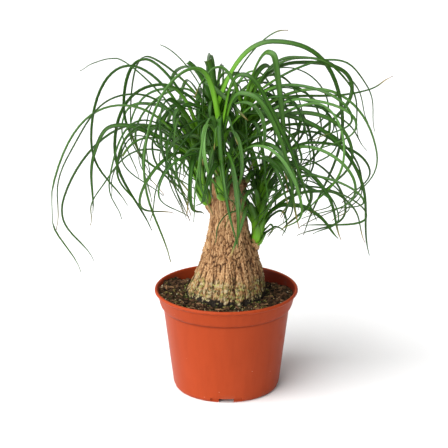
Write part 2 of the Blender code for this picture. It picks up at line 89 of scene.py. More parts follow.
def addNode(tree, kind, feeds, **settings):  # feeds: the socket or the value for each input
    node = tree.nodes.new("ShaderNode" + kind)
    for name, value in settings.items():
        setattr(node, name, value)
    for key, value in feeds.items():
        if isinstance(value, bpy.types.NodeSocket):
            tree.links.new(value, node.inputs[key])
        else:
            node.inputs[key].default_value = value
    return node.outputs


def treeWith(*values):  # the tree that the sockets among the values are in
    return next(value.id_data for value in values if isinstance(value, bpy.types.NodeSocket))


def calculate(operation, *values):
    return addNode(treeWith(*values), "Math", dict(enumerate(values)), operation=operation)[0]


def times(result, *others):
    for other in others:
        result = calculate("MULTIPLY", result, other)
    return result


def plus(result, *others):
    for other in others:
        result = calculate("ADD", result, other)
    return result


def fade(value, start, end, low=0.0, high=1.0):  # low before start, high after end
    feeds = {"Value": value, "From Min": start, "From Max": end, "To Min": low, "To Max": high}
    return addNode(value.id_data, "MapRange", feeds, interpolation_type="SMOOTHSTEP")["Result"]


def mixColour(factor, first, second, blend="MIX"):
    feeds = {0: factor}
    for key, colour in ((6, first), (7, second)):
        feeds[key] = (*colour, 1) if isinstance(colour, tuple) else colour
    return addNode(treeWith(factor, first, second), "Mix", feeds, data_type="RGBA", blend_type=blend)[2]


def paint(colour, plan, **masks):  # lays colours of the plan over it one by one, each where its mask is
    for name, mask in masks.items():
        colour = mixColour(mask, colour, plan[name])
    return colour


def split(socket, kind="SeparateColor"):
    return addNode(socket.id_data, kind, {0: socket})


def stretched(vector, share):  # so that what it places is drawn out upright
    return addNode(vector.id_data, "Mapping", {"Vector": vector, "Scale": (1, 1, share)})["Vector"]


def startGroup(name, **numbers):  # each number that goes in, with its usual value
    tree = bpy.data.node_groups.new(name, "ShaderNodeTree")
    tree.interface.new_socket("Vector", in_out="INPUT", socket_type="NodeSocketVector")
    for socketName, value in numbers.items():
        socket = tree.interface.new_socket(socketName, in_out="INPUT", socket_type="NodeSocketFloat")
        socket.default_value = value
    sockets = tree.nodes.new("NodeGroupInput").outputs
    return sockets[: len(numbers) + 1]


def endGroup(**results):
    tree = treeWith(*results.values())
    for name in results:
        tree.interface.new_socket(name, in_out="OUTPUT", socket_type="NodeSocketFloat")
    last = tree.nodes.new("NodeGroupOutput")
    for name, socket in results.items():
        tree.links.new(socket, last.inputs[name])
    return tree


def makeBlotches():  # soft cloudy mask
    vector, scale, level, softness = startGroup("blotches", Scale=20, Level=0.5, Softness=0.15)
    feeds = {"Vector": vector, "Scale": scale, "Detail": 5, "Roughness": 0.6}
    cloud = addNode(vector.id_data, "TexNoise", feeds)["Fac"]
    return endGroup(Mask=fade(cloud, calculate("SUBTRACT", level, softness), plus(level, softness)))


def makeSpecks():  # separate small grains, each on or off
    vector, scale, share, size = startGroup("specks", Scale=300, Share=0.3, Size=0.35)
    cells = addNode(vector.id_data, "TexVoronoi", {"Vector": vector, "Scale": scale})
    parts = split(cells["Color"])
    chosen = calculate("LESS_THAN", parts["Red"], share)
    inside = calculate("LESS_THAN", cells["Distance"], size)
    return endGroup(Mask=times(inside, chosen), Tone=parts["Green"])


def makeGrain():  # fine relief from two sizes of noise
    vector, scale, fine = startGroup("grain", Scale=400, Fine=0.4)
    tree = vector.id_data
    blend = {"Factor": fine}
    for key, size in (("A", scale), ("B", times(scale, 3.3))):
        blend[key] = addNode(tree, "TexNoise", {"Vector": vector, "Scale": size, "Detail": 3})["Fac"]
    return endGroup(Height=addNode(tree, "Mix", blend)["Result"])


groups = {"blotches": makeBlotches(), "specks": makeSpecks(), "grain": makeGrain()}


def useGroup(name, vector, **values):
    return addNode(vector.id_data, "Group", {"Vector": vector, **values}, node_tree=groups[name])


def blotches(vector, scale, level, softness):
    return useGroup("blotches", vector, Scale=scale, Level=level, Softness=softness)["Mask"]


def specks(vector, scale, share, size):
    return useGroup("specks", vector, Scale=scale, Share=share, Size=size)


def grain(vector, scale, fine=0.4):
    return useGroup("grain", vector, Scale=scale, Fine=fine)["Height"]


def startMaterial(name, roughness, shine=0.3):
    material = bpy.data.materials.new(name)
    material.use_nodes = True
    shader = material.node_tree.nodes["Principled BSDF"].inputs
    shader["Roughness"].default_value = roughness
    shader["Specular IOR Level"].default_value = shine
    return material, shader, addNode(material.node_tree, "TexCoord", {})["Object"]


def dress(shader, colour, relief, distance, strength, rough=None):  # what goes into the shader
    tree = colour.id_data
    bump = addNode(tree, "Bump", {"Height": relief, "Distance": distance * mm, "Strength": strength})
    tree.links.new(colour, shader["Base Color"])
    tree.links.new(bump["Normal"], shader["Normal"])
    if rough:
        tree.links.new(rough, shader["Roughness"])


lightPlan = {
    "look": "Standard",
    "sky": 0.34,
    "sunStrength": 5.8,
    "sunSoftness": 72,  # this and the next two in degrees
    "sunAzimuth": -47,  # less than 0 is left of the camera
    "sunElevation": 36,
    "lampPower": 8,
    "lampSize": 1300,
    "lampPlace": (-300, 200, 1800),
    "lampTarget": (0, 0, 200),
}


def addLight(name, kind, energy, toward):
    light = bpy.data.lights.new(name, kind)
    light.energy = energy
    holder = bpy.data.objects.new(name, light)
    holder.rotation_euler = (-toward).to_track_quat("-Z", "Y").to_euler()
    bpy.context.scene.collection.objects.link(holder)
    return holder


def setLights(plan):
    scene = bpy.context.scene
    scene.view_settings.view_transform = plan["look"]
    scene.world = bpy.data.worlds.new("studio")
    scene.world.use_nodes = True
    tree = scene.world.node_tree
    sky = tree.nodes["Background"].inputs
    sky["Color"].default_value = (1, 1, 1, 1)
    seen = addNode(tree, "LightPath", {})["Is Camera Ray"]
    bright = addNode(tree, "MapRange", {"Value": seen, "To Min": plan["sky"]})  # white past the floor's edge
    tree.links.new(bright["Result"], sky["Strength"])
    a, e = math.radians(plan["sunAzimuth"]), math.radians(plan["sunElevation"])
    toward = Vector((math.sin(a) * math.cos(e), -math.cos(a) * math.cos(e), math.sin(e)))
    sun = addLight("sun", "SUN", plan["sunStrength"], toward)
    sun.data.angle = math.radians(plan["sunSoftness"])
    place = Vector(plan["lampPlace"])
    lamp = addLight("top", "AREA", plan["lampPower"], place - Vector(plan["lampTarget"]))
    lamp.data.shape = "SQUARE"
    lamp.data.size = plan["lampSize"] * mm
    lamp.location = place * mm


setLights(lightPlan)
print("lights")


# Shared helpers for meshes


def newPiece(name, bm):
    mesh = bpy.data.meshes.new(name)
    bm.to_mesh(mesh)
    bm.free()
    piece = bpy.data.objects.new(name, mesh)
    bpy.context.scene.collection.objects.link(piece)
    return piece


def applyModifiers(piece):
    graph = bpy.context.evaluated_depsgraph_get()
    made = bpy.data.meshes.new_from_object(piece.evaluated_get(graph), depsgraph=graph)
    old = piece.data
    piece.modifiers.clear()
    piece.data = made
    made.name = piece.name
    bpy.data.meshes.remove(old)


def finishPiece(piece, material, nodes=(), sharpAngle=None):
    piece.data.materials.clear()
    piece.data.materials.append(material)
    piece.data.shade_smooth()
    if sharpAngle:
        piece.data.set_sharp_from_angle(angle=math.radians(sharpAngle))
    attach(piece, "root")
    if nodes:
        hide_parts(*nodes)
    print(piece.name + ":", sum(len(face.vertices) - 2 for face in piece.data.polygons), "triangles")


def spin(bm, parts, steps, angle, closed):
    bmesh.ops.spin(
        bm, geom=parts, axis=(0, 0, 1), cent=(0, 0, 0), steps=steps, angle=angle, use_merge=closed
    )


def lathe(rows, steps):  # spins an open row of (radius, height) that starts and ends on the axis
    bm = bmesh.new()
    verts = [bm.verts.new((radius * mm, 0, height * mm)) for radius, height in rows]
    edges = [bm.edges.new(pair) for pair in zip(verts, verts[1:])]
    spin(bm, verts + edges, steps, math.tau, True)
    bmesh.ops.remove_doubles(bm, verts=bm.verts, dist=0.01 * mm)
    bmesh.ops.recalc_face_normals(bm, faces=bm.faces)
    return bm


def roundEdges(bm, edges, radius):
    how = {"segments": 3, "profile": 0.5, "affect": "EDGES", "material": -1, "clamp_overlap": True}
    bmesh.ops.bevel(bm, geom=edges, offset=radius * mm, **how)


def addCone(bm, first, second, depth, matrix):
    size = {"radius1": first * mm, "radius2": second * mm, "depth": depth * mm}
    bmesh.ops.create_cone(bm, cap_ends=True, segments=24, matrix=matrix, **size)


def ease(x):
    x = min(1.0, max(0.0, x))
    return x * x * (3 - 2 * x)


def heading(azimuth):
    a = math.radians(azimuth)
    return Vector((math.cos(a), math.sin(a), 0))


floorPlan = {"size": 14000, "pale": (0.86, 0.86, 0.855), "shade": (0.84, 0.84, 0.84)}


def makeFloor(plan):
    material, shader, whole = startMaterial("paleFloor", 0.85)
    colour = mixColour(blotches(whole, 1.5, 0.5, 0.4), plan["pale"], plan["shade"])
    dress(shader, colour, grain(whole, 60), 0.05, 0.2)
    bm = bmesh.new()
    bmesh.ops.create_grid(bm, x_segments=8, y_segments=8, size=plan["size"] / 2 * mm)
    floor = newPiece("floor", bm)
    floor.data.materials.append(material)


makeFloor(floorPlan)
print("floor")

# Pot of thin plastic. Its profiles are rows of (radius, height).

potPlan = {
    "steps": 144,
    "outside": [
        (58.6, 0), (60.8, 3), (61.8, 7.2), (72.5, 96.4), (75.2, 98.8), (76.6, 102.4), (79.2, 113.4),
        (80.8, 114.6), (82.5, 115.8), (82.5, 117.8), (81.3, 119),
    ],
    "inside": [(79.4, 118.4), (78, 115), (75, 101.4), (70.9, 97), (60.4, 9.6), (58.6, 7.6), (0, 7.6)],
    "under": [(0, 6), (56.9, 6), (56.6, 0)],
    "rounding": 0.7,
    "notches": 4,
    "notch": (17, 4.8, 50),  # width, height, how far from the axis it begins
    "recess": (36, 5.4, 58.3),
    "notchRounding": 0.9,
    "drainHoles": 6,
    "drainCircle": 44,
    "drainRadius": 4.5,
    "drainHeight": 6.8,
    "colour": (0.3, 0.041, 0.0105),
    "pale": (0.34, 0.05, 0.0145),
    # dark red-brown for the flow stains, and for the painted shade inside the rim and under the collar
    "stain": (0.07, 0.006, 0.003),
    "marks": (0.75, 0.5, 0.38),
    "splash": (0.05, 0.032, 0.022),
    "dust": (0.3, 0.14, 0.09),
}


def makePlastic(plan):
    material, shader, whole = startMaterial("potPlastic", 0.42, 0.06)
    x, y, z = split(whole, "SeparateXYZ")
    blush = blotches(whole, 11, 0.52, 0.3)
    flow = blotches(stretched(whole, 0.06), 150, 0.6, 0.25)
    smears = blotches(whole, 55, 0.62, 0.08)
    marks = specks(whole, 240, 0.035, 0.13)["Mask"]
    out = calculate("SQRT", plus(times(x, x), times(y, y)))
    beyond = calculate("SUBTRACT", out, times(z, 0.2))
    inner = times(fade(beyond, 0.0559, 0.0553), fade(z, 0.101, 0.103))  # the wall inside the rim
    # painted shade: the inner wall darker towards the right, away from the sun
    paintedShadeRight = times(inner, fade(x, -0.05, 0.06, 0.25, 0.85))
    collarShade = times(fade(z, 0.0945, 0.0965), fade(z, 0.0995, 0.097), 0.38)  # painted shade under the collar
    splash = times(inner, fade(z, 0.118, 0.109, 0.25, 0.9), smears)  # wet mix, splashed up the wall
    dust = times(fade(z, 0.012, 0.0), smears, 0.35)
    colour = mixColour(blush, plan["colour"], plan["pale"])
    colour = paint(colour, plan, stain=times(flow, 0.14), marks=times(marks, 0.3))
    colour = paint(colour, plan, stain=paintedShadeRight)
    colour = paint(colour, plan, stain=collarShade, splash=splash, dust=dust)
    rough = plus(times(blush, 0.08), 0.36, times(smears, 0.1))
    dress(shader, colour, grain(whole, 900, 0.3), 0.12, 0.25, rough)
    return material


def notchCutter(facing, size):  # a curved block across the skirt
    width, height, inner = size
    outer, below = 70, 2
    turn = width / potPlan["outside"][0][0]
    bm = bmesh.new()
    bmesh.ops.create_grid(bm, x_segments=1, y_segments=1, size=0.5)
    for vert in bm.verts:
        out, up = vert.co.x + 0.5, vert.co.y + 0.5
        vert.co = Vector((inner + out * (outer - inner), 0, up * (height + below) - below)) * mm
    spin(bm, bm.faces[:], 6, turn, False)
    bmesh.ops.holes_fill(bm, edges=[edge for edge in bm.edges if edge.is_boundary])
    bmesh.ops.recalc_face_normals(bm, faces=bm.faces)
    roundEdges(bm, [edge for edge in bm.edges if edge.calc_face_angle(0) > 1], potPlan["notchRounding"])
    start = math.radians(facing) - turn / 2
    bmesh.ops.rotate(bm, verts=bm.verts, cent=(0, 0, 0), matrix=Matrix.Rotation(start, 3, "Z"))
    return newPiece("cutter", bm)


def cutAway(piece, cutter):
    cut = piece.modifiers.new("cut", "BOOLEAN")
    cut.operation = "DIFFERENCE"
    cut.solver = "MANIFOLD"
    cut.object = cutter
    applyModifiers(piece)
    bpy.data.objects.remove(cutter)


def makePot(plan):
    bm = lathe(plan["under"] + plan["outside"] + plan["inside"], plan["steps"])
    corners = []
    for edge in bm.edges:
        first, second = (vert.co for vert in edge.verts)
        level = abs(first.z - second.z) < 0.01 * mm
        around = abs(first.xy.length - second.xy.length) < 0.01 * mm
        if level and around and edge.calc_face_angle(0) > 0.2:
            corners.append(edge)
    roundEdges(bm, corners, plan["rounding"])
    bmesh.ops.recalc_face_normals(bm, faces=bm.faces)
    pot = newPiece("pot_shell", bm)
    for k in range(plan["notches"]):
        facing = 360 * k / plan["notches"] - 90
        cutAway(pot, notchCutter(facing, plan["recess"]))
        cutAway(pot, notchCutter(facing, plan["notch"]))
    for k in range(plan["drainHoles"]):
        bm = bmesh.new()
        middle = heading(360 * (k + 0.5) / plan["drainHoles"]) * plan["drainCircle"] * mm
        middle += Vector((0, 0, plan["drainHeight"] * mm))
        addCone(bm, plan["drainRadius"], plan["drainRadius"], 6, Matrix.Translation(middle))
        cutAway(pot, newPiece("cutter", bm))
    finishPiece(pot, makePlastic(plan), ["pot"], 32)


makePot(potPlan)

# Trunk. Its rows are (height, radius, how far its middle lies to the right).

trunkPlan = {
    "rows": [
        (70, 27, 0), (75, 33, 0), (84, 40, 0), (94, 44.6, 0), (103.5, 46, 0), (113, 44.9, 0),
        (122, 42.9, 0.8), (131, 40, 2.2), (140, 37.2, 3.3), (152, 33, 4), (164, 29.5, 3.9),
        (175, 25.6, 3.6), (186, 22.8, 3.1), (198, 20.6, 2.8), (212, 19.5, 2.6), (228, 19.3, 2.2),
        (238, 19.6, 2), (245, 21, 3.4), (248.5, 18, 3.2),
    ],
    "steps": 96,
    "back": 3,  # how far its middle lies behind the pot's
    "barkFoot": 114,
    "barkFade": 9,
    "ribs": 12,
    "ribHeight": 0.9,  # at the swollen foot, less where the trunk is thinner
    "stub": ((16, 6.4, 5.2, 5.8), (6.6, 0, 5.8, 4.8)),  # under a shoot: (from, to, radii) of its two cones
    "voxel": 0.8,
    "plates": (0.26, 0.011, 1.9, 7),  # waves per mm around, waves per mm up, depth, steepness
    "flakes": (0.66, 0.12, 1.1, 6),
    "grain": 0.9,
    "groove": (0.05, 0.021, 0.008),
    "mid": (0.25, 0.124, 0.046),
    "ridge": (0.55, 0.355, 0.18),
    "streak": (0.75, 0.6, 0.5),
    "redBrown": (0.13, 0.038, 0.014),
    "chalk": (0.5, 0.44, 0.3),
    "film": (0.52, 0.5, 0.26),
    "moss": (0.05, 0.055, 0.01),
    "dryMoss": (0.33, 0.31, 0.09),
}

Shoot = namedtuple("Shoot", "foot out tip leaves facing seed")
shoots = {
    "shoot_left": Shoot((-21.5, 1, 222), (-0.5, -0.05, 0.85), (-27, -4, 300), 32, 180, 11),
    "shoot_front": Shoot((-4, -20.5, 236), (-0.1, -0.75, 0.65), (-6, -25, 306), 25, -95, 23),
    "shoot_top": Shoot((11, 5, 255), (0.15, 0.05, 1), (20, 9, 335), 40, 8, 37),
    "shoot_back": Shoot((-8, 12, 253), (-0.15, 0.25, 1), (-12, 20, 330), 28, 110, 41),
    "shoot_right": Shoot((33.5, -1, 175), (0.28, -0.05, 1), (37, -3, 258), 28, -5, 59),
}


def trunkRadius(height):
    heights, radii = list(zip(*trunkPlan["rows"]))[:2]
    return float(np.interp(height, heights, radii))


def barkAt(spot):  # spot in mm. Gives how far out of its furrow and of its flake a place is, and its grain
    wobble = noise.noise_vector(spot * 0.13) * 1.6
    around = (spot.xy - Vector((3, trunkPlan["back"]))).normalized() * 34  # furrows run straight up the trunk
    heights = []
    for waves, up, depth, steep in (trunkPlan["plates"], trunkPlan["flakes"]):
        rise = up * (1 + 2 * ease((spot.z - 140) / 60))  # shorter plates and flakes on the neck
        place = Vector(((around.x + wobble.x) * waves + 9 * up, (around.y + wobble.y) * waves, spot.z * rise))
        heights.append(1 - math.exp(-steep * abs(noise.noise(place))))
    fine = noise.fractal(Vector((spot.x, spot.y, 0.6 * spot.z)) * 0.75, 0.8, 2.1, 4)
    return *heights, fine


mixPlan = {
    "steps": 300,
    "rings": 40,
    "height": 111.5,
    "dip": 6.5,  # towards the back
    "heap": (-64, 38, 5, 22),  # place, height, spread
    "outer": 77,
    "side": [(74.3, 101.2), (70.2, 96.8), (59.8, 9.8), (58.2, 7.9), (0, 7.9)],
    "gap": 0.3,
    "dark": (0.012, 0.008, 0.004),
    "brown": (0.055, 0.03, 0.014),
    "algae": (0.018, 0.03, 0.005),
    "fibre": (0.1, 0.055, 0.026),
    "straw": (0.42, 0.34, 0.16),
}


def makeBark(plan):
    material, shader, whole = startMaterial("palmBark", 0.85)
    near = stretched(whole, 0.3)
    z = split(whole, "SeparateXYZ")["Z"]
    relief = addNode(whole.id_data, "Attribute", {}, attribute_name="barkRelief")["Color"]
    plate, flake, fine = split(relief)
    cloud = blotches(near, 120, 0.5, 0.2)
    streak = blotches(near, 420, 0.5, 0.16)
    tint = blotches(whole, 38, 0.52, 0.14)
    chalk = blotches(whole, 210, 0.54, 0.06)
    moss, mossTone = specks(whole, 380, 0.5, 0.6)
    pits, pitTone = specks(near, 520, 0.42, 0.46)
    worn = plus(times(plate, flake), times(fade(fine, 0.1, 0.9), 0.25), fade(z, 0.15, 0.205, 0, 0.16))
    colour = mixColour(fade(worn, 0.2, 0.75), plan["groove"], plan["mid"])
    colour = paint(colour, plan, ridge=times(fade(cloud, 0.0, 1.0, 0.35), fade(worn, 0.55, 1.0)))
    colour = mixColour(times(streak, 0.45), colour, plan["streak"], "MULTIPLY")
    colour = paint(colour, plan, redBrown=times(fade(z, 0.2, 0.246, 0.12), tint, 0.8))
    pit = mixColour(fade(pitTone, 0.45, 0.5), plan["groove"], plan["ridge"])
    colour = mixColour(times(pits, fade(z, 0.16, 0.2, 0.34, 0.2)), colour, pit)
    ragged = plus(z, times(tint, 0.014))  # the height, with an uneven edge for what grows on the foot
    pale = times(fade(ragged, 0.152, 0.132), chalk, 0.85, fade(worn, 0.3, 0.8))
    colour = paint(colour, plan, chalk=pale)
    colour = mixColour(times(fade(ragged, 0.16, 0.128), 0.5), colour, plan["film"], "MULTIPLY")
    green = mixColour(fade(mossTone, 0.3, 0.8), plan["moss"], plan["dryMoss"])
    colour = mixColour(times(fade(ragged, 0.15, 0.132), moss, 0.8), colour, green)
    edge = plus(z, times(chalk, 0.005), times(tint, 0.006))
    colour = paint(colour, mixPlan, dark=fade(edge, 0.121, 0.118))  # mix clings to the foot
    dress(shader, colour, grain(near, 620, 0.45), 1.0, 0.8)
    return material


def makeTrunk(plan):
    heights, radii, shifts = zip(*plan["rows"])
    rows = list(zip(radii, heights))
    bm = lathe([(0, heights[0])] + rows + [(0, heights[-1])], plan["steps"])
    for vert in bm.verts:
        height = vert.co.z / mm
        a = math.atan2(vert.co.y, vert.co.x)
        relief = ease((height - plan["barkFoot"]) / plan["barkFade"]) * (height < heights[-1] - 0.1)
        wave = 0.9 * math.sin(0.04 * height + 2 * a)
        ribs = math.cos(plan["ribs"] * a + wave) * (1 - 0.4 * math.cos(0.11 * height + 3 * a))
        ribs *= plan["ribHeight"] * min(1, trunkRadius(height) / 40)
        swelling = math.cos(2 * a + 0.03 * height) + 0.6 * math.cos(3 * a - 0.05 * height)
        out = vert.co.xy.length
        if out > 1 * mm:
            out += relief * (ribs + 0.5 * swelling) * mm
        shift = float(np.interp(height, heights, shifts))
        vert.co = Vector((math.cos(a) * out + shift * mm, math.sin(a) * out + plan["back"] * mm, vert.co.z))
    for shoot in shoots.values():
        out = Vector(shoot.out).normalized()
        end = Vector(shoot.foot) - out * 0.3
        turn = out.to_track_quat("Z", "Y").to_matrix().to_4x4()
        for low, high, first, second in plan["stub"]:
            middle = end - out * (low + high) / 2
            addCone(bm, first, second, low - high, Matrix.Translation(middle * mm) @ turn)
    trunk = newPiece("trunk_bark", bm)
    skin = trunk.modifiers.new("skin", "REMESH")
    skin.mode = "VOXEL"
    skin.voxel_size = plan["voxel"] * mm
    applyModifiers(trunk)
    bm = bmesh.new()
    bm.from_mesh(trunk.data)
    axes = {"use_axis_" + axis: True for axis in "xyz"}
    for i in range(3):
        bmesh.ops.smooth_vert(bm, verts=bm.verts, factor=0.5, **axes)
    bm.normal_update()
    layer = bm.verts.layers.float_color.new("barkRelief")
    moves = []
    for vert in bm.verts:
        spot = vert.co / mm
        plate, flake, fine = barkAt(spot)
        foot = ease((spot.z - 96) / 14) * (0.6 + 0.4 * ease((210 - spot.z) / 50))  # shallower on the neck
        depth = plan["plates"][2] * (plate - 0.65) + plan["flakes"][2] * (flake - 0.65) + plan["grain"] * fine
        moves.append(vert.normal * depth * foot * mm)
        vert[layer] = (plate, 0.35 + 0.65 * flake, 0.5 + 0.5 * fine, 1)
    for vert, move in zip(bm.verts, moves):
        vert.co += move
    bm.to_mesh(trunk.data)
    bm.free()
    finishPiece(trunk, makeBark(plan), ["trunk"])


makeTrunk(trunkPlan)

# Potting mix: a crumbly bed, then loose bits lying on it


def mixTop(x, y):  # height of the mix at a place, in mm
    broad = math.sin(0.21 * x + 1.3 * math.sin(0.13 * y)) * math.cos(0.19 * y + 0.8)
    broad += 0.6 * math.sin(0.37 * x - 0.29 * y)
    spot = Vector((x, y, 0))
    lumps = 0.45 - noise.voronoi(spot * 0.2)[0][0]
    crumbs = 0.4 - noise.voronoi(spot * 0.55)[0][0]
    dip = mixPlan["dip"] * ease((y - 15) / 45)
    heapX, heapY, heapHeight, spread = mixPlan["heap"]
    heap = heapHeight * math.exp(-((x - heapX) ** 2 + (y - heapY) ** 2) / spread**2)
    level = mixPlan["height"] - 0.02 * x - dip + heap + 0.9 * broad
    return level + 2.4 * lumps + 1.1 * crumbs + 0.7 * noise.noise(spot * 0.9)


def potInside(height):
    heights, radii = zip(*sorted((z, radius) for radius, z in potPlan["inside"][:-1]))
    return float(np.interp(height, heights, radii))


def makeCompost(plan):
    material, shader, whole = startMaterial("compost", 0.92, 0.1)
    fibre = specks(whole, 520, 0.22, 0.42)["Mask"]
    straw = specks(whole, 330, 0.05, 0.34)["Mask"]
    film = blotches(whole, 28, 0.52, 0.1)
    colour = mixColour(blotches(whole, 170, 0.52, 0.1), plan["dark"], plan["brown"])
    colour = paint(colour, plan, fibre=fibre, algae=times(film, 0.6), straw=straw)
    dress(shader, colour, grain(whole, 520, 0.5), 1.0, 0.9)
    return material


def makeMix(plan):
    gap, level = plan["gap"], plan["height"]
    hole = [(radius + gap, height) for height, radius, shift in trunkPlan["rows"] if height < level - 2]
    first, last = trunkRadius(level) + gap, plan["outer"]
    top = [(first + (last - first) * i / plan["rings"], level) for i in range(plan["rings"] + 1)]
    below = hole[0][1] - gap
    bm = lathe([(0, below), (hole[0][0], below)] + hole[1:] + top + plan["side"], plan["steps"])
    middle = Vector((0, trunkPlan["back"]))
    for vert in bm.verts:
        out = vert.co.xy.length / mm
        if vert.co.z > 108 * mm:
            share = min(1, max(0, (out - first) / (last - first)))
            around = vert.co.xy.normalized()
            far = around * (potInside(mixTop(*(around * last))) - 0.15)
            spot = (around * first + middle).lerp(far, share)
            spot += noise.noise_vector(vert.co / mm * 0.6).xy * 0.5 * min(1, 12 * share, 12 - 12 * share)
            vert.co = Vector((spot.x, spot.y, mixTop(spot.x, spot.y))) * mm
        elif 1 < out < 47.5 and vert.co.z > 60 * mm:  # the hole
            vert.co.y += trunkPlan["back"] * mm
    finishPiece(newPiece("potting_mix_bed", bm), makeCompost(plan), ["potting_mix"])


makeMix(mixPlan)

# Loose bits: how many, their size, how flat and how long they are, the part of the bed that they lie on
# as (nearest to the trunk, furthest) shares, and the two colours that they vary between
bitPlans = {
    "mix_crumbs": {
        "seed": 3, "count": 1300, "size": (1.4, 4.2), "flat": 0.7, "long": 1.3, "band": (0, 1),
        "colours": ((0.004, 0.003, 0.002), (0.085, 0.045, 0.022)),
    },
    "bark_chips": {
        "seed": 5, "count": 300, "size": (2.6, 6.6), "flat": 0.35, "long": 1.8, "band": (0.05, 1),
        "colours": ((0.03, 0.014, 0.007), (0.25, 0.14, 0.07)),
    },
    "olive_flakes": {
        "seed": 21, "count": 260, "size": (1.4, 4.4), "flat": 0.35, "long": 1.7, "band": (0.05, 1),
        "colours": ((0.035, 0.028, 0.007), (0.34, 0.27, 0.085)),
    },
    "perlite_grains": {
        "seed": 8, "count": 120, "size": (0.9, 2.4), "flat": 0.85, "long": 1.1, "band": (0.05, 1),
        "colours": ((0.25, 0.2, 0.1), (0.6, 0.55, 0.4)),
    },
    "moss_cushions": {
        "seed": 13, "count": 240, "size": (0.8, 2.4), "flat": 0.8, "long": 1.1, "band": (0, 0.14),
        "colours": ((0.03, 0.05, 0.012), (0.26, 0.26, 0.07)),
    },
}


def makeBitStuff(name, plan):
    material, shader, whole = startMaterial(name, 0.9, 0.1)
    tone = addNode(whole.id_data, "Attribute", {}, attribute_name="bitTone")["Fac"]
    shade = times(blotches(whole, 420, 0.5, 0.2), 0.5)
    colour = mixColour(shade, mixColour(tone, *plan["colours"]), (0.5, 0.46, 0.42), "MULTIPLY")
    dress(shader, colour, grain(whole, 900, 0.5), 0.4, 0.6)
    return material


def scatterBits(name, plan):
    rng = random.Random(plan["seed"])
    bm = bmesh.new()
    layer = bm.verts.layers.float_color.new("bitTone")
    near, far = plan["band"]
    inner = trunkRadius(mixPlan["height"]) + 1.2
    outer = mixPlan["outer"] - 1.5
    for i in range(plan["count"]):
        a = rng.uniform(-math.pi, math.pi)
        share = near + (far - near) * rng.random() ** 0.8
        out = inner + (outer - inner) * share
        x = math.cos(a) * out
        y = math.sin(a) * out + trunkPlan["back"] * (1 - share)
        size = rng.uniform(*plan["size"])
        turn = Matrix.Rotation(rng.uniform(0, math.tau), 4, "Z")
        turn = turn @ Matrix.Rotation(rng.uniform(-0.7, 0.7), 4, "X")
        shape = Matrix.Diagonal((plan["long"], 1 / plan["long"], plan["flat"], 1))
        spot = Vector((x, y, mixTop(x, y) + size * plan["flat"] * rng.uniform(-0.1, 0.35)))
        matrix = Matrix.Translation(spot * mm) @ turn @ shape
        made = bmesh.ops.create_icosphere(bm, subdivisions=1, radius=size / 2 * mm, matrix=matrix)
        tone = rng.random() ** 1.3
        for vert in made["verts"]:
            vert.co += Vector([rng.uniform(-1, 1) for axis in "xyz"]) * size * 0.11 * mm
            vert[layer] = (tone, tone, tone, 1)
    bits = newPiece(name, bm)
    finishPiece(bits, makeBitStuff(name, plan))
    bits.data.shade_flat()


for bitName, bitPlan in bitPlans.items():
    scatterBits(bitName, bitPlan)


# Leaves. share is where on its stem a leaf grows and azimuth the way it faces, then come its crest, a
# point on its way down and its tip, each as (distance out from the stem, height above the floor), its
# width, how far its tip sways to the left, the share of its length that is left, its roll and its twist.
Leaf = namedtuple("Leaf", "share azimuth crest way tip width sway kept roll twist", defaults=(0, 1, 40, 0))

